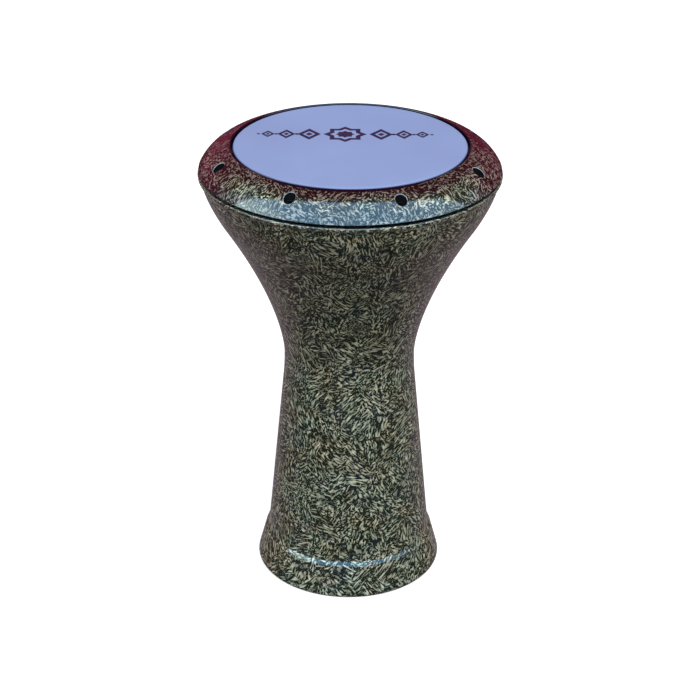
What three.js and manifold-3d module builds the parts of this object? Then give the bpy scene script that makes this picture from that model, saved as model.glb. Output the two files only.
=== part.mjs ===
// Goblet drum (darbuka): a cast aluminium shell, a plastic head and a bolted tuning ring.
// Millimetres, +Z up. The origin is the centre of the foot's bottom face, and the front is -Y.

import * as THREE from "three";
import { mergeVertices } from "three/addons/utils/BufferGeometryUtils.js";
import Module from "manifold-3d";

const wasm = await Module();
wasm.setup();

// Driving dimensions

const headLevel = 445; // upper face of the film
const headRadius = 110; // film, measured over the bearing edge
const turnSteps = 48; // facets in one turn of every large round piece
const boltCount = 8;
const boltCircle = 128;
const firstBolt = THREE.MathUtils.degToRad(-69.5); // azimuth from the front towards +X
const slip = 0.3; // free gap between two pieces that would touch
const play = 0.1; // smaller gap between the fastener parts and under the ring's lip
const overrun = 1; // how far a cutting tool passes the face that it cuts

const film = { thickness: 0.5, skirtBottom: 437.5 };

const edge = { roundness: 3.1, wall: 6.2 }; // the collar's crest, which the film bends over

const flange = { level: 420, depth: 11, radius: 143, cornerRound: 1.2, lip: 3 };

const foot = {
  radius: 92.2,
  opening: 84,
  round: 2.5,
  lean: 15,
  shoulderRadius: 83.9,
  shoulderLevel: 33.5,
  blend: 7,
};

const stem = { bottomRadius: 80.5, bottomLevel: 42.5, topRadius: 64.5, topLevel: 209 };

const waist = { radius: 63.7, level: 231 };

const bowl = {
  lowerPull: 10,
  bendRadius: 122.8,
  bendLevel: 374.6,
  bendSlope: 0.65,
  bendPull: 99,
  upperPull: 4.7,
  rimRadius: 139.5,
  rimLevel: 412,
  rimSlope: 0.13,
  rimPull: 11.5,
  wall: 4.5,
};

const ring = {
  bottom: 422.75,
  radius: 142.1,
  crest: 445.2,
  crestRadius: 114,
  crestFall: 17,
  crestPull: 14,
  lipDepth: 1.8,
  bottomSteepness: 63,
  bottomPull: 13.6,
  opening: 112,
  recessRadius: 116,
  recessTop: 434.4,
};

const hoop = { inner: 109.8, outer: 115.5, height: 5.6, round: 1 };

const bolt = {
  headRadius: 5,
  headHeight: 6,
  socketAcrossFlats: 5,
  socketDepth: 3.5,
  shankRadius: 3,
  length: 20,
  steps: 16,
};

const counterbore = { radius: 5.5, floor: 427.5, clearance: 3.3, steps: 24 };

const washer = { inner: 3.25, outer: 5.1, thickness: 1.2 };

const insert = { inner: 3.3, outer: 4.9 };

// Outlines: every one lists radius and height, with the solid on the left of its direction

const point = (radius, level) => new THREE.Vector2(radius, level);

const heading = (degrees) => {
  const angle = THREE.MathUtils.degToRad(degrees);
  return point(Math.cos(angle), Math.sin(angle));
};

const moved = (start, direction, distance) => start.clone().addScaledVector(direction, distance);

function arc(centre, radius, fromDegrees, toDegrees, steps) {
  const span = toDegrees - fromDegrees;
  return Array.from({ length: steps + 1 }, (_, i) =>
    moved(centre, heading(fromDegrees + (span * i) / steps), radius));
}

function pulled(start, startControl, endControl, end, steps) {
  return new THREE.CubicBezierCurve(start, startControl, endControl, end).getPoints(steps);
}

function rounded(start, corner, end, steps) {
  return new THREE.QuadraticBezierCurve(start, corner, end).getPoints(steps);
}

// The same line at a constant distance on its left
function shiftedLeft(line, distance) {
  return line.map((here, i) => {
    const before = line[Math.max(i - 1, 0)];
    const after = line[Math.min(i + 1, line.length - 1)];
    const along = after.clone().sub(before).normalize();
    return moved(here, point(-along.y, along.x), distance);
  });
}

// Solids

function revolve(outline, steps = turnSteps) {
  return new THREE.LatheGeometry([...outline, outline[0]], steps).rotateX(Math.PI / 2);
}

function upright(radius, bottom, top, steps) {
  const cylinder = new THREE.CylinderGeometry(radius, radius, top - bottom, steps);
  return cylinder.rotateX(Math.PI / 2).translate(0, 0, (bottom + top) / 2);
}

function toSolid(geometry) {
  const bare = geometry.clone();
  bare.deleteAttribute("normal");
  bare.deleteAttribute("uv");
  const merged = mergeVertices(bare);
  return new wasm.Manifold(new wasm.Mesh({
    numProp: 3,
    vertProperties: merged.attributes.position.array,
    triVerts: Uint32Array.from(merged.index.array),
  }));
}

function toGeometry(solid) {
  const mesh = solid.getMesh();
  const geometry = new THREE.BufferGeometry();
  geometry.setAttribute("position", new THREE.BufferAttribute(mesh.vertProperties, 3));
  geometry.setIndex(new THREE.BufferAttribute(mesh.triVerts, 1));
  return geometry;
}

// Bolt places, counted round from the left of the front

const boltPlaces = Array.from({ length: boltCount }, (_, i) => {
  const azimuth = firstBolt + (i * 2 * Math.PI) / boltCount;
  return new THREE.Vector3(boltCircle * Math.sin(azimuth), -boltCircle * Math.cos(azimuth), 0);
});

function drillAtBolts(solid, radius, bottom, top, steps) {
  return boltPlaces.reduce((rest, place) => {
    const drill = upright(radius, bottom, top, steps).translate(place.x, place.y, 0);
    return rest.subtract(toSolid(drill));
  }, solid);
}

// The shell: foot, stem, waist, bowl, flange and collar in one casting

function shellOutside() {
  const footEdge = arc(point(foot.radius - foot.round, foot.round), foot.round, -90, foot.lean, 4);
  const shoulder = point(foot.shoulderRadius, foot.shoulderLevel);
  const crease = point(stem.bottomRadius, stem.bottomLevel);
  const stemTop = point(stem.topRadius, stem.topLevel);
  const stemDirection = stemTop.clone().sub(crease).normalize();
  const betweenBends = shoulder.clone().lerp(crease, 0.5);
  const shoulderLine = rounded(moved(shoulder, heading(90 + foot.lean), -foot.blend), shoulder,
    betweenBends, 2);
  const creaseLine = rounded(betweenBends, crease,
    moved(crease, stemDirection, foot.blend), 3).slice(1);

  const waistPoint = point(waist.radius, waist.level);
  const stemSlope = stemDirection.x / stemDirection.y;
  const waistCorner = point(waist.radius,
    stem.topLevel + (waist.radius - stem.topRadius) / stemSlope);
  const waistLine = rounded(stemTop, waistCorner, waistPoint, 3);

  const bend = point(bowl.bendRadius, bowl.bendLevel);
  const bendDirection = point(bowl.bendSlope, 1).normalize();
  const lowerBowl = pulled(waistPoint, moved(waistPoint, point(0, 1), bowl.lowerPull),
    moved(bend, bendDirection, -bowl.bendPull), bend, 8);

  const rim = point(bowl.rimRadius, bowl.rimLevel);
  const rimDirection = point(bowl.rimSlope, 1).normalize();
  const upperBowl = pulled(bend, moved(bend, bendDirection, bowl.upperPull),
    moved(rim, rimDirection, -bowl.rimPull), rim, 5);

  return [...footEdge, ...shoulderLine, ...creaseLine, ...waistLine,
    ...lowerBowl.slice(1), ...upperBowl.slice(1)];
}

function shellOutline() {
  const outside = shellOutside();
  const underside = flange.level - flange.depth;
  const wallLine = shiftedLeft(outside, bowl.wall)
    .filter((p) => p.y > foot.blend && p.y < underside - bowl.wall);

  const lipStart = point(flange.radius, flange.level - flange.lip);
  const corner = point(flange.radius - flange.cornerRound, flange.level - flange.cornerRound);
  const flangeEdge = [lipStart, ...arc(corner, flange.cornerRound, 0, 90, 3)];

  const collarOutside = headRadius - film.thickness - slip;
  const collarInside = collarOutside - edge.wall;
  const crestCentre = point(collarOutside - edge.roundness,
    headLevel - film.thickness - slip - edge.roundness);
  const crest = arc(crestCentre, edge.roundness, 0, 180, 6);

  const wallTop = wallLine[wallLine.length - 1];
  return [
    point(foot.opening, 0),
    ...outside,
    ...flangeEdge,
    point(collarOutside, flange.level),
    ...crest,
    point(collarInside, underside),
    point(wallTop.x + bowl.wall / 2, underside),
    ...wallLine.reverse(),
    point(foot.opening, foot.blend),
  ];
}

function makeShell() {
  const casting = toSolid(revolve(shellOutline()));
  const drillBottom = flange.level - flange.depth - overrun;
  const drillTop = flange.level + overrun;
  return toGeometry(drillAtBolts(casting, insert.outer + slip, drillBottom, drillTop, bolt.steps));
}

// The head: a flat disc whose edge turns down over the collar

function makeFilm() {
  const bendCentre = point(headRadius - film.thickness - slip - edge.roundness,
    headLevel - film.thickness - slip - edge.roundness);
  const outerBend = headRadius - bendCentre.x;
  const innerBend = outerBend - film.thickness;
  const profile = [
    point(0, headLevel - film.thickness),
    ...arc(bendCentre, innerBend, 90, 0, 4),
    point(headRadius - film.thickness, film.skirtBottom),
    point(headRadius, film.skirtBottom),
    ...arc(bendCentre, outerBend, 0, 90, 4),
    point(0, headLevel),
  ];
  return new THREE.LatheGeometry(profile, turnSteps).rotateX(Math.PI / 2);
}

function makeHoop() {
  const top = ring.recessTop - play;
  const bottom = top - hoop.height;
  const inside = hoop.inner + hoop.round;
  const outside = hoop.outer - hoop.round;
  return revolve([
    ...arc(point(inside, bottom + hoop.round), hoop.round, 180, 270, 1),
    ...arc(point(outside, bottom + hoop.round), hoop.round, 270, 360, 1),
    ...arc(point(outside, top - hoop.round), hoop.round, 0, 90, 1),
    ...arc(point(inside, top - hoop.round), hoop.round, 90, 180, 1),
  ]);
}

// The tuning ring: a domed clamp ring with a recess under its inner lip that presses the hoop

function ringOutline() {
  const crest = point(ring.crestRadius, ring.crest);
  const low = point(ring.radius, ring.bottom + slip);
  const dome = pulled(low, moved(low, heading(180 - ring.bottomSteepness), ring.bottomPull),
    moved(crest, heading(-ring.crestFall), ring.crestPull), crest, 8);
  const lipCorner = point(ring.opening, ring.crest);
  const lipEnd = point(ring.opening, ring.crest - ring.lipDepth);
  return [
    point(ring.recessRadius, ring.bottom),
    point(ring.radius - slip, ring.bottom),
    ...dome,
    ...rounded(crest, lipCorner, lipEnd, 2).slice(1),
    point(ring.opening, ring.recessTop),
    point(ring.recessRadius, ring.recessTop),
  ];
}

function makeRing() {
  const blank = toSolid(revolve(ringOutline()));
  const drilled = drillAtBolts(blank, counterbore.clearance,
    ring.bottom - overrun, counterbore.floor + overrun, bolt.steps);
  return toGeometry(drillAtBolts(drilled, counterbore.radius,
    counterbore.floor, ring.crest + overrun, counterbore.steps));
}

// Fasteners: each is made on the axis at its own height, then placed at its bolt

const washerBottom = counterbore.floor + play;
const headBottom = washerBottom + washer.thickness + play;

function makeBolt() {
  const headTop = headBottom + bolt.headHeight;
  const head = toSolid(upright(bolt.headRadius, headBottom, headTop, counterbore.steps));
  const shank = toSolid(upright(bolt.shankRadius, headBottom - bolt.length,
    headBottom + overrun, bolt.steps));
  const socketRadius = bolt.socketAcrossFlats / Math.sqrt(3);
  const socket = toSolid(upright(socketRadius, headTop - bolt.socketDepth,
    headTop + overrun, 6));
  return toGeometry(head.add(shank).subtract(socket));
}

function makeTube(inner, outer, bottom, top) {
  return revolve([point(inner, bottom), point(outer, bottom), point(outer, top), point(inner, top)],
    bolt.steps);
}

const makeWasher = () =>
  makeTube(washer.inner, washer.outer, washerBottom, washerBottom + washer.thickness);

const makeInsert = () =>
  makeTube(insert.inner, insert.outer, flange.level - flange.depth, flange.level - play);

// Materials

const lacquer = (name, color) =>
  new THREE.MeshStandardMaterial({ name, color, roughness: 0.25, metalness: 0.4 });

const shellLacquer = lacquer("shell_lacquer", 0x4d4f40);
const ringLacquer = lacquer("ring_lacquer", 0x5a3a3e);
const filmPlastic = new THREE.MeshStandardMaterial({ color: 0x8fa4d2, roughness: 0.4, metalness: 0 });
const hoopAluminium = new THREE.MeshStandardMaterial({ color: 0xb4b6b8, roughness: 0.4, metalness: 1 });
const blackSteel = new THREE.MeshStandardMaterial({ color: 0x26272a, roughness: 0.4, metalness: 0.9 });
const brightSteel = new THREE.MeshStandardMaterial({ color: 0xa9abad, roughness: 0.3, metalness: 1 });

// The assembly

const drum = new THREE.Group();

function addPiece(name, geometry, material, place) {
  const piece = new THREE.Mesh(geometry, material);
  piece.name = name;
  if (place) piece.position.copy(place);
  drum.add(piece);
}

addPiece("shell", makeShell(), shellLacquer);
addPiece("drumhead_film", makeFilm(), filmPlastic);
addPiece("head_hoop", makeHoop(), hoopAluminium);
addPiece("tuning_ring", makeRing(), ringLacquer);

boltPlaces.forEach((place, i) => {
  addPiece(`tuning_bolt_${i + 1}`, makeBolt(), blackSteel, place);
  addPiece(`bolt_washer_${i + 1}`, makeWasher(), brightSteel, place);
  addPiece(`thread_insert_${i + 1}`, makeInsert(), brightSteel, place);
});

export default drum;
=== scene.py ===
import math
import bpy
import bmesh
from mathutils import Matrix, Vector


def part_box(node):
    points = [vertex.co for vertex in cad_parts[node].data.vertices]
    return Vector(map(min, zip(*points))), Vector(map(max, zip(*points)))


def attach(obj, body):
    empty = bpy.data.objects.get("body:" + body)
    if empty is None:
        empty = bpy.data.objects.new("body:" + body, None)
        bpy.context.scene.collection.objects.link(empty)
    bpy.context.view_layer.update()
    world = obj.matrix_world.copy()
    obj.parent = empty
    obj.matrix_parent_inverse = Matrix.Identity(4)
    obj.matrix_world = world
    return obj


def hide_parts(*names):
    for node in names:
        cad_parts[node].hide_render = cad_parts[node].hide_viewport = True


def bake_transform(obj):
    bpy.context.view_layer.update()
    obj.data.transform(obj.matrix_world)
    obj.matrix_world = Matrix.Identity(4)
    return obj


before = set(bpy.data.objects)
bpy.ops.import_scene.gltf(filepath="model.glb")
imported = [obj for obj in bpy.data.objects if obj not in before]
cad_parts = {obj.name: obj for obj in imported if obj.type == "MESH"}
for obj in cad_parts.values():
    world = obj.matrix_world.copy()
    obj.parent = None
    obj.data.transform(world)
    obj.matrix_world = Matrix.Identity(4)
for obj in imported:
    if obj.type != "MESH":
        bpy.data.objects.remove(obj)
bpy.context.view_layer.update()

mm = 0.001


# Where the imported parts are, in millimetres.

def nodeBox(node):
    low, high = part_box(node)
    return low / mm, high / mm


shellHigh = nodeBox("shell")[1]
filmHigh = nodeBox("drumhead_film")[1]
hoopLow, hoopHigh = nodeBox("head_hoop")
ringLow = nodeBox("tuning_ring")[0]
boltCount = len([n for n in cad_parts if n.startswith("tuning_bolt_")])


def boltCentre(i):
    low, high = nodeBox("tuning_bolt_%d" % (i + 1))
    return (low + high) / 2


firstBolt = boltCentre(0)
boltCircle = firstBolt.xy.length
boltStart = math.atan2(firstBolt.x, -firstBolt.y)      # azimuth from the front, towards +X
print("frame read:", boltCount, "bolts on a circle of", round(boltCircle, 2), "mm")


# Outlines are lists of (radius, height) in mm, with the solid on the left.

def heading(degrees):
    a = math.radians(degrees)
    return math.cos(a), math.sin(a)


def moved(p, direction, distance):
    return p[0] + direction[0] * distance, p[1] + direction[1] * distance


def arc(centre, radius, start, end, steps):
    return [moved(centre, heading(start + (end - start) * i / steps), radius) for i in range(steps + 1)]


def pulled(a, b, c, d, steps):              # a cubic curve with two handles
    out = []
    for i in range(steps + 1):
        t = i / steps
        w = ((1 - t) ** 3, 3 * (1 - t) ** 2 * t, 3 * (1 - t) * t * t, t ** 3)
        out.append(tuple(w[0] * a[k] + w[1] * b[k] + w[2] * c[k] + w[3] * d[k] for k in (0, 1)))
    return out


def softCorner(a, corner, b, steps):        # a quadratic curve round a corner
    out = []
    for i in range(steps + 1):
        t = i / steps
        w = ((1 - t) ** 2, 2 * (1 - t) * t, t * t)
        out.append(tuple(w[0] * a[k] + w[1] * corner[k] + w[2] * b[k] for k in (0, 1)))
    return out


def unit(v):
    size = math.hypot(*v)
    return v[0] / size, v[1] / size


def between(a, b):                          # the direction from a to b
    return unit((b[0] - a[0], b[1] - a[1]))


def shiftedLeft(line, distance):
    out = []
    for i, p in enumerate(line):
        before, after = line[max(i - 1, 0)], line[min(i + 1, len(line) - 1)]
        along = between(before, after)
        out.append((p[0] - along[1] * distance, p[1] + along[0] * distance))
    return out


def spaced(a, b, steps):                    # points on a straight line, both ends included
    return [tuple(a[k] + (b[k] - a[k]) * i / steps for k in (0, 1)) for i in range(steps + 1)]


# A piece is built from loops of points, joined by bands of quads.

def newBuild():
    return {"verts": [], "faces": [], "looks": []}


def addLoop(build, points):
    start = len(build["verts"])
    build["verts"] += [tuple(c * mm for c in p) for p in points]
    return list(range(start, len(build["verts"])))


def addFace(build, corners, look):
    build["faces"].append(corners)
    build["looks"].append(look)


def band(build, a, b, look, skip=()):
    count = len(a)
    for k in range(count):
        if k not in skip:
            n = (k + 1) % count
            addFace(build, (a[k], a[n], b[n], b[k]), look)


def circlePoints(radius, level, steps, centre=(0, 0), start=0.0):
    out = []
    for k in range(steps):
        a = start + 2 * math.pi * k / steps
        out.append((centre[0] + radius * math.sin(a), centre[1] - radius * math.cos(a), level))
    return out


def closeWith(build, loop, level, look, centre=(0, 0)):       # a fan to one point on the axis
    tip = addLoop(build, [(centre[0], centre[1], level)])[0]
    for k in range(len(loop)):
        addFace(build, (loop[k], loop[(k + 1) % len(loop)], tip), look)


def turn(build, outline, steps, centre=(0, 0), closed=True):
    rows = [addLoop(build, circlePoints(r, z, steps, centre)) for r, z in outline]
    for a, b in zip(rows, rows[1:]):
        band(build, a, b, 0)
    if closed:
        band(build, rows[-1], rows[0], 0)
    return rows


def finishMesh(name, build, materials, body, replaces=None, sharp=32):
    mesh = bpy.data.meshes.new(name)
    mesh.from_pydata(build["verts"], [], build["faces"])
    mesh.polygons.foreach_set("material_index", build["looks"])
    work = bmesh.new()
    work.from_mesh(mesh)
    bmesh.ops.remove_doubles(work, verts=work.verts, dist=1e-6)
    work.to_mesh(mesh)
    work.free()
    mesh.polygons.foreach_set("use_smooth", [True] * len(mesh.polygons))
    mesh.set_sharp_from_angle(angle=math.radians(sharp))
    for m in materials:
        mesh.materials.append(m)
    obj = bpy.data.objects.new(name, mesh)
    bpy.context.scene.collection.objects.link(obj)
    if isinstance(body, tuple):
        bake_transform(obj)
    else:
        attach(obj, body)
    if replaces:
        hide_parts(replaces)
    print("made", name, len(mesh.polygons), "faces")


# A turned face with a round hole at every bolt. The grid is lined up with the bolts, and a window of it round
# each bolt is filled by loops that run from the window's edge to the hole.

def drilledFace(build, radii, levelOf, window, hole, stepsPerBolt, look):
    steps = stepsPerBolt * boltCount
    rows = [addLoop(build, circlePoints(r, levelOf(r), steps, start=boltStart)) for r in radii]
    slack = 0.01
    inner = [i for i, r in enumerate(radii) if window["from"] - slack <= r <= window["to"] + slack]
    first, last, half = inner[0], inner[-1], window["half"]
    for i in range(1, len(rows)):
        cut = set()
        if first < i <= last:
            for b in range(boltCount):
                cut |= {(b * stepsPerBolt + k) % steps for k in range(-half, half)}
        band(build, rows[i - 1], rows[i], look, cut)
    holes = []
    for b in range(boltCount):
        left, right = b * stepsPerBolt - half, b * stepsPerBolt + half
        rim = [rows[first][k % steps] for k in range(left, right)]
        rim += [rows[i][right % steps] for i in range(first, last)]
        rim += [rows[last][k % steps] for k in range(right, left, -1)]
        rim += [rows[i][left % steps] for i in range(last, first, -1)]
        c = boltCentre(b)
        spots = [Vector(build["verts"][v]).xy / mm for v in rim]
        ways = [(s - c.xy).normalized() for s in spots]
        previous = rim
        for share in (0.3, 0.55, 0.78, 1.0):     # from the window's edge to the hole
            points = [s.lerp(c.xy + w * hole, share) for s, w in zip(spots, ways)]
            here = addLoop(build, [(p.x, p.y, levelOf(p.length)) for p in points])
            band(build, previous, here, look)
            previous = here
        holes.append((c, ways, previous))
    return rows, holes


def holeLoop(build, c, ways, radius, level):
    # level is a number, or a function of the distance from the drum's axis
    pts = []
    for w in ways:
        p = c.xy + w * radius
        pts.append((p.x, p.y, level(p.length) if callable(level) else level))
    return addLoop(build, pts)


# Materials are node trees. An input called i0, i1 and so on is a socket by its place.

def newMaterial(name):
    m = bpy.data.materials.new(name)
    m.use_nodes = True
    nodes = m.node_tree.nodes
    nodes.clear()
    out = nodes.new("ShaderNodeOutputMaterial")
    shader = nodes.new("ShaderNodeBsdfPrincipled")
    m.node_tree.links.new(shader.outputs[0], out.inputs[0])
    return m, m.node_tree, shader


def add(tree, kind, settings=None, **inputs):
    node = tree.nodes.new(kind)
    for key, value in (settings or {}).items():
        setattr(node, key, value)
    for key, value in inputs.items():
        socket = node.inputs[int(key[1:])] if key[0] == "i" and key[1:].isdigit() else node.inputs[key]
        if isinstance(value, bpy.types.NodeSocket):
            tree.links.new(value, socket)
        else:
            socket.default_value = value
    return node


def mathNode(tree, operation, a, b=0.0, c=0.0):
    return add(tree, "ShaderNodeMath", {"operation": operation}, i0=a, i1=b, i2=c).outputs[0]


def vectorNode(tree, operation, a, b=(0, 0, 0), scale=None):
    node = add(tree, "ShaderNodeVectorMath", {"operation": operation}, i0=a, i1=b)
    if scale is not None:
        if isinstance(scale, bpy.types.NodeSocket):
            tree.links.new(scale, node.inputs["Scale"])
        else:
            node.inputs["Scale"].default_value = scale
    return node.outputs["Value"] if operation in ("DOT_PRODUCT", "LENGTH") else node.outputs["Vector"]


def mapped(tree, value, low, high, toLow=0.0, toHigh=1.0, soft=True):
    node = add(tree, "ShaderNodeMapRange", {"interpolation_type": "SMOOTHSTEP" if soft else "LINEAR"},
               i0=value, i1=low, i2=high, i3=toLow, i4=toHigh)
    return node.outputs[0]


def mixColour(tree, share, a, b):
    node = tree.nodes.new("ShaderNodeMix")
    node.data_type = "RGBA"
    for socket, value in ((node.inputs[0], share), (node.inputs[6], a), (node.inputs[7], b)):
        if isinstance(value, bpy.types.NodeSocket):
            tree.links.new(value, socket)
        else:
            socket.default_value = value if isinstance(value, float) else (*value, 1.0)
    return node.outputs[2]


def noise(tree, where, scale, detail=2.0, roughness=0.5):
    return add(tree, "ShaderNodeTexNoise", {"noise_dimensions": "3D"},
               Vector=where, Scale=scale, Detail=detail, Roughness=roughness)


# One layer of straws: the surface is split into patches, each patch has a direction of its own, and fine
# noise is drawn out along that direction.

middle = (0.5, 0.5, 0.5)        # the mean of a noise colour


def strawLayer(tree, where, patchSize, strawWidth, stretch, wander, shift):
    s = lacquer
    place = vectorNode(tree, "ADD", where, shift)
    wobble = noise(tree, place, s["wobble"] / patchSize, 1.5).outputs["Color"]
    wobble = vectorNode(tree, "SUBTRACT", wobble, middle)
    edge = vectorNode(tree, "ADD", place, vectorNode(tree, "SCALE", wobble, scale=patchSize * wander))
    cells = add(tree, "ShaderNodeTexVoronoi", {"feature": "F1", "voronoi_dimensions": "3D"},
                Vector=edge, Scale=1 / patchSize)
    pick = cells.outputs["Color"]
    way = vectorNode(tree, "SUBTRACT", pick, middle)
    skin = add(tree, "ShaderNodeNewGeometry").outputs["Normal"]
    upright = mathNode(tree, "MULTIPLY", vectorNode(tree, "DOT_PRODUCT", way, skin), -s["flatness"])
    way = vectorNode(tree, "ADD", way, vectorNode(tree, "SCALE", skin, scale=upright))
    way = vectorNode(tree, "NORMALIZE", way)                  # most straws lie along the surface
    local = vectorNode(tree, "SUBTRACT", place, cells.outputs["Position"])
    swirl = noise(tree, place, s["swirl"] / patchSize, 0.0).outputs["Color"]
    swirl = vectorNode(tree, "SUBTRACT", swirl, middle)
    swirl = vectorNode(tree, "SCALE", swirl, scale=patchSize * s["swirlReach"])
    local = vectorNode(tree, "ADD", local, swirl)
    level = add(tree, "ShaderNodeSeparateXYZ", i0=where).outputs[2]
    local = vectorNode(tree, "SCALE", local, scale=mapped(tree, level, *s["footGrowth"]))
    along = vectorNode(tree, "DOT_PRODUCT", local, way)
    back = mathNode(tree, "MULTIPLY", along, -(1 - 1 / stretch))
    drawn = vectorNode(tree, "ADD", local, vectorNode(tree, "SCALE", way, scale=back))
    drawn = vectorNode(tree, "ADD", drawn, vectorNode(tree, "SCALE", pick, scale=s["patchJump"]))
    return noise(tree, drawn, 1 / strawWidth, 1.2, 0.45).outputs["Fac"]


# Lengths are in metres. A row of two numbers says where a thing starts and where it is full, and a row of
# four goes on with the values at those two places.

lacquer = {
    "body": {"patchSize": 0.019, "strawWidth": 0.00158, "stretch": 4.8, "metallic": 0.25, "underCoat": 0.12},
    "ring": {"patchSize": 0.015, "strawWidth": 0.00155, "stretch": 3.6, "metallic": 0.12, "underCoat": 0.03},
    "wander": 0.5, "wobble": 1.6,                # how far the patch edges stray, and how finely
    "swirl": 0.9, "swirlReach": 0.35,            # the bend of the straws in a patch
    "patchJump": 0.7,                            # keeps two patches from showing the same noise
    "flatness": 0.6,                             # 1 would lay every straw flat on the surface
    "coarsePlace": (0.31, 0.12, 0.53), "finePlace": (1.7, 2.9, 0.4),
    "finePatch": 0.62, "fineWidth": 0.72, "fineStretch": 0.8, "fineWander": 1.2, "fineShare": 0.7,
    "coarseEdge": (0.515, 0.597), "fineEdge": (0.583, 0.657), "ridge": (0.58, 0.72),
    "shadeScale": 55, "shade": (0.34, 0.56, 0.62, 1.0),
    "tintScale": 38, "greenFrom": (0.48, 0.62), "brownFrom": (0.54, 0.66), "blueFrom": (0.45, 0.62),
    "footGrowth": (0.03, 0.14, 0.92, 1.0),       # by height: the straws are a little bigger near the foot
    "greenBelow": (0.17, 0.29, 0.10, -0.03),     # by height: greener on the stem than on the bowl
    "straw": (0.52, 0.51, 0.355), "paleStraw": (0.80, 0.80, 0.62),
    "greenStraw": (0.45, 0.52, 0.37), "brownStraw": (0.47, 0.43, 0.265),
    "maroonStraw": (0.37, 0.275, 0.245), "paintedSheenStraw": (0.30, 0.37, 0.40),
    "ground": (0.011, 0.016, 0.009), "blueGround": (0.011, 0.019, 0.022),
    "maroonGround": (0.018, 0.002, 0.003), "crimsonGround": (0.050, 0.001, 0.008),
    # the lip's dark plain edge: partly its own finish, partly painted shade in the gap by the film
    "lipEdgeAndShade": (0.010, 0.001, 0.008),
    "bump": 0.25, "bumpDepth": 0.00015,
    "roughness": (0.38, 0.5),                    # of the ground and of the straws
    "coatRoughness": 0.05, "coatIndex": 1.5,
}

ringMaroon = {
    "full": 0.119, "gone": 0.134,                # distance from the axis where the inner maroon fades
    "drift": 0.012, "driftScale": 22,            # how much that edge wanders, and how finely
    "front": -0.096, "side": -0.054,             # from front to back: maroon all over past the side
    "crimson": (-0.07, 0.04),                    # then turning crimson towards the back
    "plainAndShadedLip": (0.1127, 0.1136),               # the lip's inner edge, which has no straws; its dark colour is partly its own plain finish, partly painted shade in the gap by the film
    "frontShadeWidening": (-0.115, -0.07, 0.0034, 0.0),   # and is wider at the front, which is painted shade only
    "sparse": (0.45, 0.85),                      # thinner straws on the maroon
    "quieter": (-0.03, 0.06, 1.0, 0.55),         # and weaker ones at the back
    "band": (0.133, 0.138, 0.0, 0.7),            # bluer straws towards the outer edge, a painted sheen of the clear coat
    "dimmer": (0.120, 0.137, 0.50, 0.92),        # darker straws towards the lip
    "strawShare": 0.9,
}


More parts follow.
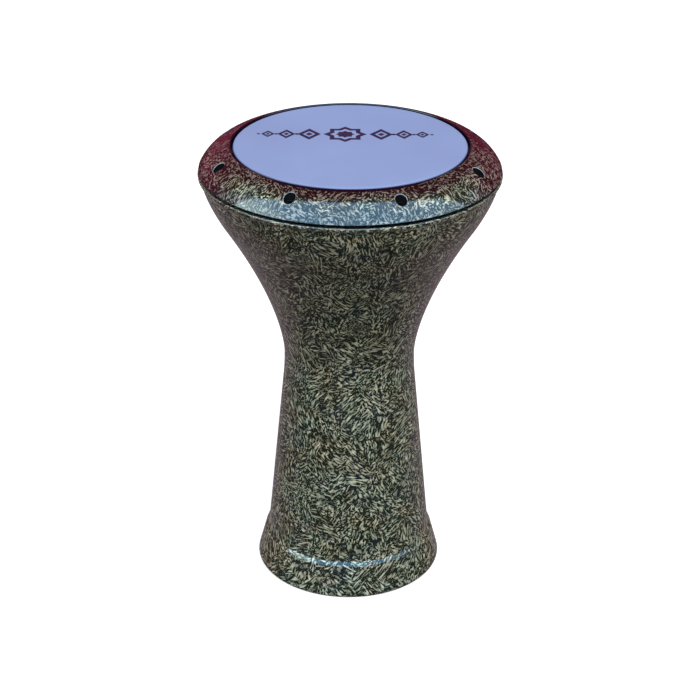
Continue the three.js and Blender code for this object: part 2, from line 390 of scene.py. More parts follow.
def lacquerMaterial(name, straw, maroon=None):
    m, tree, shader = newMaterial(name)
    s = lacquer
    where = add(tree, "ShaderNodeTexCoord").outputs["Object"]
    size, width, stretch = straw["patchSize"], straw["strawWidth"], straw["stretch"]
    coarse = strawLayer(tree, where, size, width, stretch, s["wander"], s["coarsePlace"])
    fine = strawLayer(tree, where, size * s["finePatch"], width * s["fineWidth"], stretch * s["fineStretch"],
                      s["wander"] * s["fineWander"], s["finePlace"])
    coarseMask = mapped(tree, coarse, *s["coarseEdge"])
    fineMask = mathNode(tree, "MULTIPLY", mapped(tree, fine, *s["fineEdge"]), s["fineShare"])
    straws = mathNode(tree, "MAXIMUM", coarseMask, fineMask)
    shade = noise(tree, where, s["shadeScale"], 2.0).outputs["Fac"]          # darker and lighter areas
    straws = mathNode(tree, "MULTIPLY", straws, mapped(tree, shade, *s["shade"]))

    tint = noise(tree, where, s["tintScale"], 2.5).outputs["Color"]
    parts = add(tree, "ShaderNodeSeparateColor", i0=tint).outputs
    spot = add(tree, "ShaderNodeSeparateXYZ", i0=where).outputs
    greener = mathNode(tree, "ADD", parts[0], mapped(tree, spot[2], *s["greenBelow"]))
    colour = mixColour(tree, mapped(tree, greener, *s["greenFrom"]), s["straw"], s["greenStraw"])
    colour = mixColour(tree, mapped(tree, parts[1], *s["brownFrom"]), colour, s["brownStraw"])
    colour = mixColour(tree, mapped(tree, coarse, *s["ridge"]), colour, s["paleStraw"])
    ground = mixColour(tree, mapped(tree, parts[2], *s["blueFrom"]), s["ground"], s["blueGround"])
    if maroon:
        radius = vectorNode(tree, "LENGTH", vectorNode(tree, "MULTIPLY", where, (1, 1, 0)))
        cloud = noise(tree, where, maroon["driftScale"], 1.0).outputs["Fac"]
        drift = mathNode(tree, "MULTIPLY_ADD", cloud, maroon["drift"], -maroon["drift"] / 2)
        reach = mathNode(tree, "ADD", radius, drift)
        inward = mapped(tree, reach, maroon["full"], maroon["gone"], 1.0, 0.0)
        rear = mapped(tree, spot[1], maroon["front"], maroon["side"], 0.0, 1.0)
        share = mathNode(tree, "MAXIMUM", inward, rear)
        ground = mixColour(tree, share, ground, s["maroonGround"])
        ground = mixColour(tree, mapped(tree, spot[1], *maroon["crimson"]), ground, s["crimsonGround"])
        # painted shade: a dark plain band at the lip's inner edge, wider at the front
        edge = mathNode(tree, "SUBTRACT", radius, mapped(tree, spot[1], *maroon["frontShadeWidening"]))
        plain = mapped(tree, edge, *maroon["plainAndShadedLip"], 1.0, 0.0)
        ground = mixColour(tree, plain, ground, s["lipEdgeAndShade"])
        sparse = mapped(tree, straws, *maroon["sparse"])
        straws = add(tree, "ShaderNodeMix", i0=share, i2=straws, i3=sparse).outputs[0]
        straws = mathNode(tree, "MULTIPLY", straws, mathNode(tree, "SUBTRACT", 1.0, plain))
        straws = mathNode(tree, "MULTIPLY", straws, mapped(tree, spot[1], *maroon["quieter"]))
        # painted sheen: the straws turn bluer towards the ring's outer edge
        colour = mixColour(tree, mapped(tree, reach, *maroon["band"]), colour, s["paintedSheenStraw"])
        share = mathNode(tree, "MULTIPLY", share, maroon["strawShare"])
        colour = mixColour(tree, share, colour, s["maroonStraw"])
        colour = vectorNode(tree, "SCALE", colour, scale=mapped(tree, reach, *maroon["dimmer"]))
    tree.links.new(mixColour(tree, straws, ground, colour), shader.inputs["Base Color"])
    tree.links.new(mapped(tree, straws, 0.0, 1.0, 0.0, straw["metallic"], False), shader.inputs["Metallic"])
    tree.links.new(mapped(tree, straws, 0.0, 1.0, *s["roughness"], False), shader.inputs["Roughness"])
    bump = add(tree, "ShaderNodeBump", i0=s["bump"], i1=s["bumpDepth"], Height=straws)
    tree.links.new(bump.outputs[0], shader.inputs["Normal"])
    shader.inputs["Specular IOR Level"].default_value = straw["underCoat"]   # matt paint under the clear coat
    shader.inputs["Coat Weight"].default_value = 1.0
    shader.inputs["Coat Roughness"].default_value = s["coatRoughness"]
    shader.inputs["Coat IOR"].default_value = s["coatIndex"]
    return m


metalNoise = {"cloudScale": 60, "grainShare": 0.4, "levels": (0.35, 0.65)}       # the same for every metal

metals = {
    "castInside": {"colour": (0.30, 0.31, 0.32), "dark": (0.17, 0.175, 0.18), "metallic": 0.85,
                   "roughness": (0.5, 0.72), "grain": 900, "bump": 0.5, "depth": 0.0004},
    "machined": {"colour": (0.74, 0.75, 0.76), "dark": (0.55, 0.56, 0.58), "metallic": 1.0,
                 "roughness": (0.22, 0.38), "grain": 2600, "bump": 0.12, "depth": 0.00005},
    "hoopAluminium": {"colour": (0.68, 0.69, 0.70), "dark": (0.50, 0.51, 0.53), "metallic": 1.0,
                      "roughness": (0.3, 0.45), "grain": 1800, "bump": 0.12, "depth": 0.00005},
    "blackOxide": {"colour": (0.016, 0.016, 0.018), "dark": (0.006, 0.006, 0.007), "metallic": 0.85,
                   "roughness": (0.4, 0.55), "grain": 2400, "bump": 0.15, "depth": 0.00004},
    "zincPlate": {"colour": (0.60, 0.61, 0.62), "dark": (0.42, 0.43, 0.45), "metallic": 1.0,
                  "roughness": (0.25, 0.4), "grain": 2200, "bump": 0.12, "depth": 0.00004},
    # a recess has two more finishes, its dark wall and its worn edge, which are made the same way
    "boreLacquer": {"colour": (0.010, 0.009, 0.009), "dark": (0.004, 0.004, 0.004), "metallic": 0.0,
                    "shine": 0.08, "roughness": (0.5, 0.7), "grain": 1500, "bump": 0.3, "depth": 0.0001},
    "wornEdge": {"colour": (0.46, 0.45, 0.42), "dark": (0.10, 0.095, 0.09), "metallic": 0.35,
                 "roughness": (0.5, 0.65), "grain": 700, "bump": 0.3, "depth": 0.0001},
}


def metalMaterial(name):
    m, tree, shader = newMaterial(name)
    s = metals[name]
    where = add(tree, "ShaderNodeTexCoord").outputs["Object"]
    cloud = noise(tree, where, metalNoise["cloudScale"], 4.0, 0.6).outputs["Fac"]
    grain = noise(tree, where, s["grain"], 2.0).outputs["Fac"]
    cloudPart = mathNode(tree, "MULTIPLY", cloud, 1 - metalNoise["grainShare"])
    both = mathNode(tree, "MULTIPLY_ADD", grain, metalNoise["grainShare"], cloudPart)
    levels, roughness = metalNoise["levels"], s["roughness"]
    colour = mixColour(tree, mapped(tree, both, *levels), s["dark"], s["colour"])
    tree.links.new(colour, shader.inputs["Base Color"])
    tree.links.new(mapped(tree, both, *levels, roughness[1], roughness[0]), shader.inputs["Roughness"])
    shader.inputs["Metallic"].default_value = s["metallic"]
    shader.inputs["Specular IOR Level"].default_value = s.get("shine", 0.5)
    bump = add(tree, "ShaderNodeBump", i0=s["bump"], i1=s["depth"], Height=grain)
    tree.links.new(bump.outputs[0], shader.inputs["Normal"])
    return m


film = {
    "colour": (0.242, 0.320, 0.578), "pale": (0.257, 0.340, 0.605), "bendShade": (0.012, 0.014, 0.040),
    "bend": (0.4435, 0.4448),                    # heights: painted shade, the film's colour darkens where it bends down into the gap
    "cloudScale": 9, "levels": (0.3, 0.7), "roughness": (0.34, 0.44), "index": 1.45,
    "speckScale": 1500, "bump": 0.06, "bumpDepth": 0.00002,
}


def filmMaterial():
    m, tree, shader = newMaterial("filmPlastic")
    where = add(tree, "ShaderNodeTexCoord").outputs["Object"]
    cloud = noise(tree, where, film["cloudScale"], 3.0, 0.55).outputs["Fac"]
    speck = noise(tree, where, film["speckScale"], 1.0).outputs["Fac"]
    level = add(tree, "ShaderNodeSeparateXYZ", i0=where).outputs[2]
    paintedBendShade = mapped(tree, level, *film["bend"], 1.0, 0.0)
    flat = mixColour(tree, mapped(tree, cloud, *film["levels"]), film["colour"], film["pale"])
    # painted shade: the film turns dark navy where it bends down into the gap under the ring's lip
    tree.links.new(mixColour(tree, paintedBendShade, flat, film["bendShade"]), shader.inputs["Base Color"])
    tree.links.new(mapped(tree, cloud, *film["levels"], *film["roughness"]), shader.inputs["Roughness"])
    bump = add(tree, "ShaderNodeBump", i0=film["bump"], i1=film["bumpDepth"], Height=speck)
    tree.links.new(bump.outputs[0], shader.inputs["Normal"])
    shader.inputs["IOR"].default_value = film["index"]
    return m


ink = {
    "colour": (0.022, 0.010, 0.035), "worn": (0.045, 0.024, 0.062), "wearScale": 700, "wear": (0.35, 0.75),
    "roughness": (0.3, 0.7, 0.42, 0.55),
}


def inkMaterial():
    m, tree, shader = newMaterial("headInk")
    where = add(tree, "ShaderNodeTexCoord").outputs["Object"]
    wear = noise(tree, where, ink["wearScale"], 3.0, 0.6).outputs["Fac"]
    colour = mixColour(tree, mapped(tree, wear, *ink["wear"]), ink["colour"], ink["worn"])
    tree.links.new(colour, shader.inputs["Base Color"])
    tree.links.new(mapped(tree, wear, *ink["roughness"]), shader.inputs["Roughness"])
    return m


shellLacquer = lacquerMaterial("shellLacquer", lacquer["body"])
ringLacquer = lacquerMaterial("ringLacquer", lacquer["ring"], ringMaroon)
castInside = metalMaterial("castInside")
machined = metalMaterial("machined")
hoopAluminium = metalMaterial("hoopAluminium")
blackOxide = metalMaterial("blackOxide")
zincPlate = metalMaterial("zincPlate")
boreLacquer = metalMaterial("boreLacquer")
wornEdge = metalMaterial("wornEdge")
filmPlastic = filmMaterial()
headInk = inkMaterial()
print("materials made")


# The shell: foot, stem, waist, bowl, flange and collar in one casting.

shell = {
    "steps": 36,                 # per bolt spacing
    "footRadius": 92.2, "footOpening": 84, "footRound": 2.5, "footLean": 15, "footBlend": 7, "footInside": 6,
    "stepFoot": (84.4, 31.6), "stepTop": (81.8, 35.8), "stepBlend": 1.1,   # a rounded step
    "crease": (80.5, 42.5), "stemTop": (64.5, 209),
    "waistRadius": 63.7, "waistLevel": 231,
    "lowerPull": 10, "bend": (122.8, 374.6), "bendSlope": 0.65, "bendPull": 99,
    "upperPull": 4.7, "rim": (139.5, 412), "rimSlope": 0.13, "rimPull": 11.5,
    "wall": 4.5, "wallGap": 1.5,                 # the inner wall's outline ends this far under the flange
    "flangeLevel": 420, "flangeDepth": 11, "flangeRadius": 143, "flangeRound": 1.2, "lip": 3,
    "lipBulge": 1.2, "lipInset": 0.25, "cornerFill": 1, "innerChamfer": 0.8, "wallRound": 1.3,
    "collarWall": 6.2, "crestRound": 3.1, "crestGap": 0.8,
    "collarOutLevels": (428, 435), "collarInLevels": (430, 420),
    "insertHole": 5.2, "holeChamfer": 0.3, "windowHalf": 4,
    "windowRows": (134.2, 131.0, 128.0, 125.0, 121.7),                        # radii of the grid at the bolts
    "topRadii": (139, 136.5), "innerTopRadii": (117, 112.5), "underRadii": (108, 114),
}


def shellOutside():
    s = shell
    footEdge = arc((s["footRadius"] - s["footRound"], s["footRound"]), s["footRound"], -90, s["footLean"], 10)
    crease, stemTop, waist = s["crease"], s["stemTop"], (s["waistRadius"], s["waistLevel"])
    stepFoot, stepTop, blend = s["stepFoot"], s["stepTop"], s["stepBlend"]
    stepWay, creaseWay = between(stepFoot, stepTop), between(stepTop, crease)
    stemWay = between(crease, stemTop)
    footTop = moved(stepFoot, heading(90 + s["footLean"]), -blend)
    foot = spaced(footEdge[-1], footTop, 10)[1:-1]
    stepStart = softCorner(footTop, stepFoot, moved(stepFoot, stepWay, blend), 6)
    stepEnd = softCorner(moved(stepTop, stepWay, -blend), stepTop, moved(stepTop, creaseWay, blend), 6)
    stemStart = moved(crease, stemWay, s["footBlend"])
    creaseLine = softCorner(moved(crease, creaseWay, -blend * 2), crease, stemStart, 6)
    stem = spaced(stemStart, stemTop, 14)[1:-1]
    corner = (waist[0], stemTop[1] + (waist[0] - stemTop[0]) * stemWay[1] / stemWay[0])
    waistLine = softCorner(stemTop, corner, waist, 8)
    bendWay, rimWay = unit((s["bendSlope"], 1)), unit((s["rimSlope"], 1))
    bend, rim = s["bend"], s["rim"]
    belowBend, aboveBend = moved(bend, bendWay, -s["bendPull"]), moved(bend, bendWay, s["upperPull"])
    lower = pulled(waist, moved(waist, (0, 1), s["lowerPull"]), belowBend, bend, 30)
    upper = pulled(bend, aboveBend, moved(rim, rimWay, -s["rimPull"]), rim, 12)
    return footEdge + foot + stepStart + stepEnd + creaseLine + stem + waistLine + lower[1:] + upper[1:]


def makeShell():
    s = shell
    build = newBuild()
    top, under = s["flangeLevel"], s["flangeLevel"] - s["flangeDepth"]
    outside = shellOutside()
    inside = [p for p in shiftedLeft(outside, s["wall"]) if s["footBlend"] < p[1] < under - s["wallGap"]]
    inside.reverse()
    lipStart, bulge = (s["flangeRadius"] - s["lipInset"], top - s["lip"]), s["lipBulge"]
    lip = softCorner(outside[-1], (outside[-1][0] + bulge, lipStart[1] - bulge), lipStart, 4)[1:]
    corner = (s["flangeRadius"] - s["flangeRound"], top - s["flangeRound"])
    flangeEdge = arc(corner, s["flangeRound"], 0, 90, 6)
    collarOut = filmHigh.x - s["crestGap"]
    collarIn = collarOut - s["collarWall"]
    crestCentre = (collarOut - s["crestRound"], shellHigh.z - s["crestRound"])
    crest = arc(crestCentre, s["crestRound"], 0, 180, 16)
    hole, chamfer, opening = s["insertHole"], s["holeChamfer"], s["footOpening"]
    windowRows = list(s["windowRows"])
    window = {"from": windowRows[-1], "to": windowRows[0], "half": s["windowHalf"]}
    steps = s["steps"] * boltCount
    painted, cast, cut = 0, 1, 2                 # places in the list of materials

    def ringOf(r, z):
        return addLoop(build, circlePoints(r, z, steps, start=boltStart))

    # outer skin, from the foot's bottom face up to the flange
    rows = [ringOf(opening, 0)] + [ringOf(*p) for p in outside + lip + flangeEdge]
    for i in range(1, len(rows)):
        band(build, rows[i - 1], rows[i], cut if i == 1 else painted)
    # flange top, drilled, then the collar over its crest
    fill = s["cornerFill"]
    topRadii = [corner[0], *s["topRadii"]] + windowRows + [*s["innerTopRadii"], collarOut + fill]
    topRows, topHoles = drilledFace(build, topRadii, lambda r: top, window, hole + chamfer, s["steps"], cut)
    foot = softCorner((collarOut + fill, top), (collarOut, top), (collarOut, top + fill), 4)[1:]
    collarLine = foot + [(collarOut, z) for z in s["collarOutLevels"]] + crest
    collarLine += [(collarIn, z) for z in s["collarInLevels"]] + [(collarIn, under + s["innerChamfer"])]
    collar = [topRows[-1]] + [ringOf(*p) for p in collarLine]
    for i in range(1, len(collar)):
        band(build, collar[i - 1], collar[i], cast if i > len(collar) - 4 else cut)
    # flange underside, drilled, then down the inner wall
    wallRadius = inside[0][0] + s["wallRound"]
    underRadii = [collarIn + s["innerChamfer"], *s["underRadii"]] + windowRows[::-1] + [wallRadius]
    underRows = drilledFace(build, underRadii, lambda r: under, window, hole + chamfer, s["steps"], cast)[0]
    band(build, collar[-1], underRows[0], cast)
    wall = [underRows[-1]] + [ringOf(*p) for p in inside + [(opening, s["footInside"]), (opening, 0)]]
    for i in range(1, len(wall)):
        band(build, wall[i - 1], wall[i], cast)
    # the holes themselves
    for c, ways, rim in topHoles:
        upper = holeLoop(build, c, ways, hole, top - chamfer)
        lower = holeLoop(build, c, ways, hole, under + chamfer)
        last = holeLoop(build, c, ways, hole + chamfer, under)
        for a, b in ((rim, upper), (upper, lower), (lower, last)):
            band(build, a, b, cut)
    materials = [shellLacquer, castInside, machined]
    finishMesh("drumShell", build, materials, "shell_body", "shell")


makeShell()


# The tuning ring, with its lip over the hoop and a counterbore for every bolt.

ring = {
    "steps": 72,                 # per bolt spacing
    "radius": 142.1, "crestRadius": 113.3, "crest": 445.2, "crestFall": 17, "crestPull": 14, "lipDepth": 1.8,
    "bottomSteepness": 63, "bottomPull": 13.6, "bottomRound": 0.5,
    "domePoints": 400,
    "outerPoints": 140, "outerEvery": 7, "outerGap": 0.4, "innerRows": 5,   # the grid beside the bolts
    "opening": 112, "recessRadius": 116, "recessTop": 434.4, "recessChamfer": 0.4,
    "bore": 5.5, "boreChamfer": 0.45, "floor": 427.5, "clearance": 3.3, "chamfer": 0.3,
    "window": (119.5, 136.5), "windowRows": 12, "windowHalf": 7,
}


def makeRing():
    s = ring
    build = newBuild()
    bottom = ringLow.z
    low = (s["radius"], bottom + s["bottomRound"])
    crest = (s["crestRadius"], s["crest"])
    dome = pulled(low, moved(low, heading(180 - s["bottomSteepness"]), s["bottomPull"]),
                  moved(crest, heading(-s["crestFall"]), s["crestPull"]), crest, s["domePoints"])

    def domeLevel(r):
        for a, b in zip(dome, dome[1:]):
            if b[0] <= r <= a[0]:
                return a[1] + (b[1] - a[1]) * (a[0] - r) / (a[0] - b[0])
        return dome[0][1] if r > dome[0][0] else dome[-1][1]

    steps = s["steps"] * boltCount
    inner, outer = s["window"]
    count = s["windowRows"]
    windowRadii = [outer - (outer - inner) * i / count for i in range(count + 1)]
    outerRadii = [p[0] for p in dome[0:s["outerPoints"]:s["outerEvery"]] if p[0] > outer + s["outerGap"]]
    innerRadii = [inner - (inner - crest[0]) * i / s["innerRows"] for i in range(1, s["innerRows"] + 1)]
    radii = outerRadii + windowRadii + innerRadii
    window = {"from": inner, "to": outer, "half": s["windowHalf"]}
    painted, cut, boreWall, worn = 0, 1, 2, 3    # places in the list of materials
    bore, chamfer, clearance, floor = s["bore"], s["chamfer"], s["clearance"], s["floor"]
    mouth = bore + s["boreChamfer"]
    topRows, topHoles = drilledFace(build, radii, domeLevel, window, mouth, s["steps"], painted)

    def ringOf(r, z):
        return addLoop(build, circlePoints(r, z, steps, start=boltStart))

    lipEnd = (s["opening"], s["crest"] - s["lipDepth"])
    lip = [ringOf(*p) for p in softCorner(crest, (s["opening"], s["crest"]), lipEnd, 8)[1:]]
    slope = s["recessChamfer"]
    recess = [(s["opening"], s["recessTop"] + slope), (s["opening"] + slope, s["recessTop"]),
              (s["recessRadius"], s["recessTop"]), (s["recessRadius"], bottom + slope)]
    chain = [topRows[-1]] + lip + [ringOf(*p) for p in recess]
    for i in range(1, len(chain)):
        band(build, chain[i - 1], chain[i], painted if i <= len(lip) + 1 else cut)
    bottomRadii = [s["recessRadius"] + slope] + windowRadii[::-1] + [s["radius"] - s["bottomRound"]]
    holeEnd = clearance + chamfer
    bottomRows = drilledFace(build, bottomRadii, lambda r: bottom, window, holeEnd, s["steps"], cut)[0]
    band(build, chain[-1], bottomRows[0], cut)
    edge = arc((s["radius"] - s["bottomRound"], bottom + s["bottomRound"]), s["bottomRound"], -90, 0, 4)
    edgeRows = [bottomRows[-1]] + [ringOf(*p) for p in edge[1:]]
    for i in range(1, len(edgeRows)):
        band(build, edgeRows[i - 1], edgeRows[i], painted)
    # each counterbore: worn chamfer, wall, floor, then the clearance hole down to the ring's underside
    holeShape = [(bore, lambda r: domeLevel(r) - s["boreChamfer"], worn), (bore, floor + chamfer, boreWall),
                 (bore - chamfer, floor, boreWall), (holeEnd, floor, boreWall),
                 (clearance, floor - chamfer, cut), (clearance, bottom + chamfer, cut),
                 (holeEnd, bottom, cut)]
    for c, ways, rim in topHoles:
        above = rim
        for radius, level, look in holeShape:
            below = holeLoop(build, c, ways, radius, level)
            band(build, above, below, look)
            above = below
    materials = [ringLacquer, machined, boreLacquer, wornEdge]
    finishMesh("tuningRing", build, materials, "ring_body", "tuning_ring")


makeRing()


# The head: film, hoop and a printed ornament.

head = {
    "steps": 288, "radius": 110, "level": 445, "thickness": 0.25, "bendRound": 2.6,
    "skirtEnd": 430.5, "skirtBevel": 0.1, "skirtLevels": (432, 434, 436, 438, 440),
    "faceRadii": (106, 104, 100, 80, 60, 40, 20, 6),
    "hoopRound": 1.0, "hoopGap": 0.15,
    "blendFrom": 439.5, "blendTo": 434.6,        # heights for a stretch of the skirt between the two bodies, which finishMesh does not apply
}


def makeFilm():
    s = head
    build = newBuild()
    centre = (s["radius"] - s["bendRound"], s["level"] - s["bendRound"])
    innerBend = s["bendRound"] - s["thickness"]
    under = s["level"] - s["thickness"]
    levels, radii = s["skirtLevels"], s["faceRadii"]
    outside = [(s["radius"], z) for z in (s["skirtEnd"] + s["skirtBevel"], *levels)]
    outside += arc(centre, s["bendRound"], 0, 90, 12) + [(r, s["level"]) for r in radii]
    inside = [(r, under) for r in radii[::-1]] + arc(centre, innerBend, 90, 0, 12)
    inside += [(s["radius"] - s["thickness"], z) for z in (*levels[::-1], s["skirtEnd"])]
    upper = turn(build, outside, s["steps"], closed=False)
    closeWith(build, upper[-1], s["level"], 0)
    lower = turn(build, inside, s["steps"], closed=False)
    closeWith(build, lower[0][::-1], under, 0)
    band(build, lower[-1], upper[0], 0)
    spread = (("shell_body", "ring_body"), (0, 0, s["blendFrom"] * mm), (0, 0, s["blendTo"] * mm))
    finishMesh("headFilm", build, [filmPlastic], spread, "drumhead_film")


def makeHoop():
    s = head
    build = newBuild()
    low, high = hoopLow.z, hoopHigh.z
    inner, outer, k = s["radius"] + s["hoopGap"], hoopHigh.x, s["hoopRound"]
    outline = arc((inner + k, low + k), k, 180, 270, 6) + arc((outer - k, low + k), k, 270, 360, 6)
    outline += arc((outer - k, high - k), k, 0, 90, 6) + arc((inner + k, high - k), k, 90, 180, 6)
    turn(build, outline, s["steps"])
    finishMesh("headHoop", build, [hoopAluminium], "ring_body", "head_hoop")


ornament = {
    "centre": (-5, 26), "starRadius": 20.5, "starNotch": 0.76, "starBand": 0.70, "core": 0.44,
    "lozenges": [(34, 11, 14.5), (55.5, 8.5, 11.5), (73, 6.5, 8.5)],  # how far out, half length, half width
    "lozengeHole": 0.55, "lozengeCore": 0.3,
    "dots": [(45.7, 2.1), (65, 1.8), (82, 1.5)], "dotCorners": 24,            # how far out, radius
    "ink": 0.07, "lift": 0.01,
}


def slab(build, outer, inner=None):
    # a thin flat plate in the outline's shape, with a hole of the same number of corners if inner is given
    low = filmHigh.z + ornament["lift"]
    high = low + ornament["ink"]
    cx, cy = ornament["centre"]

    def loop(points, z):
        return addLoop(build, [(cx + x, cy + y, z) for x, y in points])

    outerHigh, outerLow = loop(outer, high), loop(outer, low)
    band(build, outerLow, outerHigh, 0)
    if inner is None:
        addFace(build, tuple(outerHigh), 0)
        addFace(build, tuple(outerLow[::-1]), 0)
        return
    innerHigh, innerLow = loop(inner, high), loop(inner, low)
    band(build, outerHigh, innerHigh, 0)
    band(build, innerHigh, innerLow, 0)
    band(build, innerLow, outerLow, 0)


def star(radius, notch, points=8):
    out = []
    for k in range(points * 2):
        a = math.pi * k / points
        r = radius * (notch if k % 2 else 1)
        out.append((r * math.cos(a), r * math.sin(a)))
    return out


def makeOrnament():
    s = ornament
    build = newBuild()

    def placed(shape, size, out=0):
        return [(out + x * size, y * size) for x, y in shape]

    whole = star(s["starRadius"], s["starNotch"])
    slab(build, whole, placed(whole, s["starBand"]))
    slab(build, placed(whole, s["core"]))
    corners = s["dotCorners"]
    disc = [heading(360 * k / corners) for k in range(corners)]
    for side in (-1, 1):
        for out, length, width in s["lozenges"]:
            shape = [(length, 0), (0, width), (-length, 0), (0, -width)]
            slab(build, placed(shape, 1, side * out), placed(shape, s["lozengeHole"], side * out))
            slab(build, placed(shape, s["lozengeCore"], side * out))
        for out, r in s["dots"]:
            slab(build, placed(disc, r, side * out))
    finishMesh("headOrnament", build, [headInk], "shell_body")


makeFilm()
makeHoop()
makeOrnament()


# Bolts, washers and thread inserts.

thread = {"steps": 48, "pitch": 1.0, "rowsPerTurn": 8}        # the coarse thread of an M6 screw

bolt = {
    "headRadius": 5, "headHeight": 6, "chamfer": 0.5, "knurl": 0.12, "knurlFrom": 0.7, "knurlGap": 0.4,
    "seatRound": 0.25, "seatInset": 0.2, "edgeInset": 0.02,
    "socketFlats": 5, "socketDepth": 3.5, "socketLead": 0.5, "leadDepth": 0.25, "drillDepth": 0.6,
    "shankRadius": 2.95, "fillet": 0.25, "threadDepth": 0.35, "neck": 1.2, "tipClear": 0.8, "tipInset": 0.5,
}
washer = {"bore": 3.25, "chamfer": 0.15}
insert = {
    "radius": 4.9, "bore": 3.3, "groove": 0.3, "knurl": 0.15, "knurlGap": 0.4,
    "mouth": 0.6, "threadGap": 0.5,
}


def hexPoints(flats, steps):
    out = []
    perSide = steps // 6
    reach = flats / math.sqrt(3)
    for k in range(6):
        a, b = math.pi / 3 * k, math.pi / 3 * (k + 1)
        for i in range(perSide):
            t = i / perSide
            x = (1 - t) * math.sin(a) + t * math.sin(b)
            y = (1 - t) * math.cos(a) + t * math.cos(b)
            out.append((reach * x, -reach * y))
    return out


def knurledPoints(centre, radius, dip, z):           # every other point is pressed in
    steps = thread["steps"]
    high, low = circlePoints(radius, z, steps, centre), circlePoints(radius - dip, z, steps, centre)
    return [low[k] if k % 2 else high[k] for k in range(steps)]


def threadPoints(centre, radius, depth, z):
    steps = thread["steps"]
    pts = []
    for k in range(steps):
        phase = (z / thread["pitch"] - k / steps) % 1.0
        r = radius - depth * abs(2 * phase - 1)
        a = 2 * math.pi * k / steps
        pts.append((centre[0] + r * math.sin(a), centre[1] - r * math.cos(a), z))
    return pts


def makeBolt(i):
    s = bolt
    build = newBuild()
    name = "tuning_bolt_%d" % (i + 1)
    c = boltCentre(i)
    low, high = nodeBox(name)
    under = high.z - s["headHeight"]
    r, shank, chamfer, rowsPerTurn = s["headRadius"], s["shankRadius"], s["chamfer"], thread["rowsPerTurn"]

    def ringAt(radius, z):
        return addLoop(build, circlePoints(radius, z, thread["steps"], c.xy))

    def knurled(z):
        return addLoop(build, knurledPoints(c.xy, r, s["knurl"], z))

    def hexagon(flats, depth):
        corners = hexPoints(flats, thread["steps"])
        return addLoop(build, [(c.x + x, c.y + y, high.z - depth) for x, y in corners])

    flats, depth = s["socketFlats"], s["socketDepth"]
    chain = [ringAt(shank + s["fillet"], under), ringAt(r - s["seatInset"], under),
             ringAt(r, under + s["seatRound"]), knurled(under + s["knurlFrom"]),
             knurled(high.z - chamfer - s["knurlGap"]),
             ringAt(r - s["edgeInset"], high.z - chamfer), ringAt(r - chamfer, high.z),
             hexagon(flats + s["socketLead"], 0), hexagon(flats, s["leadDepth"]),
             hexagon(flats, depth - s["drillDepth"])]
    for a, b in zip(chain, chain[1:]):
        band(build, a, b, 0)
    closeWith(build, chain[-1], high.z - depth, 0, c.xy)
    rows = [chain[0], ringAt(shank, under - s["fillet"])]
    turns = int(under - s["neck"] - low.z - s["tipClear"])
    last = turns * rowsPerTurn
    for k in range(last + 1):                    # the thread fades in below the neck and out at the tip
        fade = min(1.0, k / rowsPerTurn, (last - k) / rowsPerTurn + 0.5)
        z = under - s["neck"] - k * thread["pitch"] / rowsPerTurn
        rows.append(addLoop(build, threadPoints(c.xy, shank, s["threadDepth"] * fade, z)))
    rows.append(ringAt(shank - s["tipInset"], low.z))
    for a, b in zip(rows, rows[1:]):
        band(build, b, a, 0)
    closeWith(build, rows[-1][::-1], low.z, 0, c.xy)
    body = "bolt_%d" % (i + 1)
    finishMesh("tuningBolt%d" % (i + 1), build, [blackOxide], body, name, sharp=28)


def makeWasher(i):
    build = newBuild()
    name = "bolt_washer_%d" % (i + 1)
    low, high = nodeBox(name)
    outer, inner, k = (high.x - low.x) / 2, washer["bore"], washer["chamfer"]
    outline = [(inner + k, low.z), (outer - k, low.z), (outer, low.z + k), (outer, high.z - k),
               (outer - k, high.z), (inner + k, high.z), (inner, high.z - k), (inner, low.z + k)]
    turn(build, outline, thread["steps"], boltCentre(i).xy)
    finishMesh("boltWasher%d" % (i + 1), build, [zincPlate], "ring_body", name)


def makeInsert(i):
    s = insert
    build = newBuild()
    name = "thread_insert_%d" % (i + 1)
    c = boltCentre(i)
    low, high = nodeBox(name)
    outer, bore, gap, rowsPerTurn = s["radius"], s["bore"], s["knurlGap"], thread["rowsPerTurn"]

    def ringAt(radius, z):
        return addLoop(build, circlePoints(radius, z, thread["steps"], c.xy))

    def knurled(z):
        return addLoop(build, knurledPoints(c.xy, outer, s["knurl"], z))

    rows = [ringAt(bore + s["mouth"], low.z), ringAt(outer - gap, low.z), knurled(low.z + gap),
            knurled(high.z - gap), ringAt(outer - gap, high.z), ringAt(bore + s["mouth"], high.z)]
    turns = int(high.z - low.z - 1)
    for k in range(turns * rowsPerTurn + 1):
        z = high.z - s["threadGap"] - k * thread["pitch"] / rowsPerTurn
        rows.append(addLoop(build, threadPoints(c.xy, bore + s["groove"], s["groove"], z)))
    for a, b in zip(rows, rows[1:] + rows[:1]):
        band(build, a, b, 0)
    label = "threadInsert%d" % (i + 1)
    finishMesh(label, build, [zincPlate], "shell_body", name, sharp=28)


for i in range(boltCount):
    makeBolt(i)
    makeWasher(i)
    makeInsert(i)


# The studio: floor, light and camera.

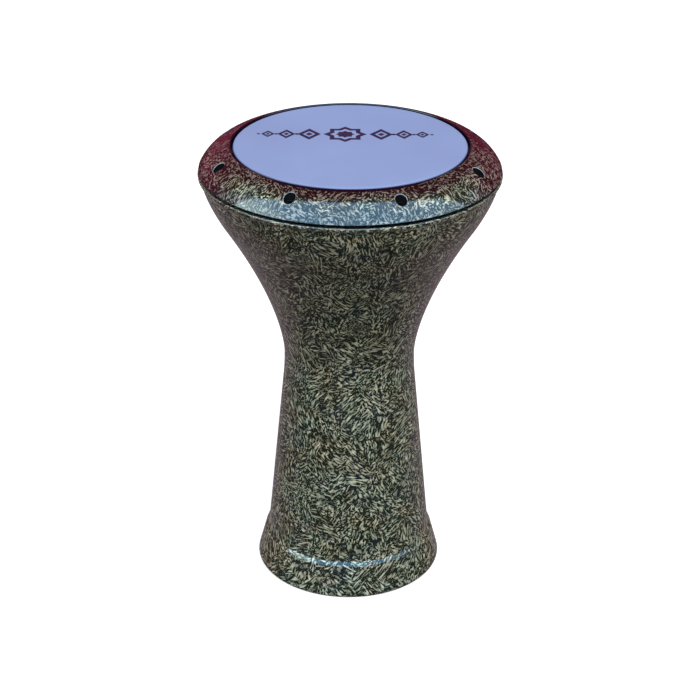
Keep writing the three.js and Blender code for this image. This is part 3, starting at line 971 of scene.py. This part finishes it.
studio = {
    "floorSize": 30, "floorTone": (0.93, 0.93, 0.93), "floorGlow": 0.45, "floorRoughness": 0.9,
    "floorDrop": 0.0002,
    # what shiny surfaces mirror: a window of light high in front of the drum, and a dim red wall elsewhere
    "front": (1.3, 2.65, 4.3), "left": (4.5, 6.1, 6.5), "right": (1.4, 2.3, 3.1),
    "back": (0.24, 0.035, 0.080), "zenith": (0.030, 0.028, 0.030), "wallFoot": (0.10, 0.016, 0.030),
    "below": (0.035, 0.032, 0.034), "belowBack": (0.21, 0.165, 0.185),
    # where those change, by the direction of the mirrored ray: x to the right, y to the back, z up
    "windowAhead": (0.09, 0.04), "windowHigh": (0.20, 0.27),
    "leftFrom": (-0.55, -0.95), "rightFrom": (0.55, 0.95),
    "backDimming": (-0.3, 0.3, 1.2, 0.6), "zenithFrom": (0.25, 0.8), "lowFrom": (0.02, -0.10),
    "wallFootFrom": (0.0, 0.4), "paperFrom": (-0.2, 0.6), "paperBelow": (-0.30, -0.42),
    "fillFrom": (-0.15, 0.35),
    # the plain fill light on everything, and the white behind the drum
    "above": (0.70, 0.71, 0.72), "under": (0.10, 0.10, 0.10), "paperWhite": (1.0, 1.0, 1.0),
    "key": {"place": (0.35, -1.6, 2.4), "aim": (0, 0, 0.3), "size": 1.8, "power": 52,
            "tone": (1.0, 0.99, 0.97)},
    "camera": {"lens": 97.61, "sensor": 36, "place": (0.0007, -1.6646, 1.0733), "pitch": 0.469,
               "roll": 0.0056},
}


def makeFloor():
    size = studio["floorSize"] / 2
    mesh = bpy.data.meshes.new("floor")
    corners = [(-size, -size, 0), (size, -size, 0), (size, size, 0), (-size, size, 0)]
    mesh.from_pydata(corners, [], [(0, 1, 2, 3)])
    m, _, shader = newMaterial("paleFloor")
    shader.inputs["Base Color"].default_value = (*studio["floorTone"], 1)
    shader.inputs["Roughness"].default_value = studio["floorRoughness"]
    shader.inputs["Emission Color"].default_value = (1, 1, 1, 1)
    shader.inputs["Emission Strength"].default_value = studio["floorGlow"]
    mesh.materials.append(m)
    floor = bpy.data.objects.new("floor", mesh)
    bpy.context.scene.collection.objects.link(floor)
    floor.location.z = -studio["floorDrop"]
    floor.visible_glossy = False          # the lacquer mirrors the studio, not the paper under the drum
    floor.visible_diffuse = False         # the little it throws up is in the world's own light from below


def makeWorld():
    s = studio
    world = bpy.data.worlds.new("studio")
    bpy.context.scene.world = world
    world.use_nodes = True
    tree = world.node_tree
    tree.nodes.clear()
    way = add(tree, "ShaderNodeTexCoord").outputs["Generated"]
    x, y, z = add(tree, "ShaderNodeSeparateXYZ", i0=way).outputs[:3]

    def zone(along, key):
        return mapped(tree, along, *s[key])

    window = mathNode(tree, "MULTIPLY", zone(y, "windowAhead"), zone(z, "windowHigh"))
    back = vectorNode(tree, "SCALE", s["back"], scale=zone(x, "backDimming"))
    dark = mixColour(tree, zone(z, "zenithFrom"), back, s["zenith"])
    paper = mathNode(tree, "MULTIPLY", zone(y, "paperFrom"), zone(z, "paperBelow"))
    low = mixColour(tree, zone(y, "wallFootFrom"), s["below"], s["wallFoot"])
    low = mixColour(tree, paper, low, s["belowBack"])
    dark = mixColour(tree, zone(z, "lowFrom"), dark, low)
    bright = mixColour(tree, zone(x, "leftFrom"), s["front"], s["left"])
    bright = mixColour(tree, zone(x, "rightFrom"), bright, s["right"])
    mirrored = mixColour(tree, window, dark, bright)
    path = add(tree, "ShaderNodeLightPath")
    fill = mixColour(tree, zone(z, "fillFrom"), s["under"], s["above"])
    seen = mixColour(tree, path.outputs["Is Camera Ray"], fill, s["paperWhite"])
    colour = mixColour(tree, path.outputs["Is Glossy Ray"], seen, mirrored)
    light = add(tree, "ShaderNodeBackground", Color=colour, Strength=1.0)
    out = add(tree, "ShaderNodeOutputWorld")
    tree.links.new(light.outputs[0], out.inputs[0])


def makeKey():
    s = studio["key"]
    data = bpy.data.lights.new("softKey", "AREA")
    data.shape, data.size, data.energy, data.color = "SQUARE", s["size"], s["power"], s["tone"]
    lamp = bpy.data.objects.new("softKey", data)
    bpy.context.scene.collection.objects.link(lamp)
    lamp.location = s["place"]
    lamp.rotation_mode = "QUATERNION"
    lamp.rotation_quaternion = (Vector(s["aim"]) - Vector(s["place"])).to_track_quat("-Z", "Y")
    lamp.visible_glossy = False


def makeCamera():
    s = studio["camera"]
    data = bpy.data.cameras.new("camera")
    data.sensor_width, data.lens = s["sensor"], s["lens"]
    camera = bpy.data.objects.new("camera", data)
    bpy.context.scene.collection.objects.link(camera)
    turned = Matrix.Rotation(math.pi / 2 - s["pitch"], 4, "X") @ Matrix.Rotation(s["roll"], 4, "Z")
    camera.matrix_world = Matrix.Translation(s["place"]) @ turned
    bpy.context.scene.camera = camera


makeFloor()
makeWorld()
makeKey()
makeCamera()
bpy.context.scene.view_settings.view_transform = "Standard"
print("studio ready")
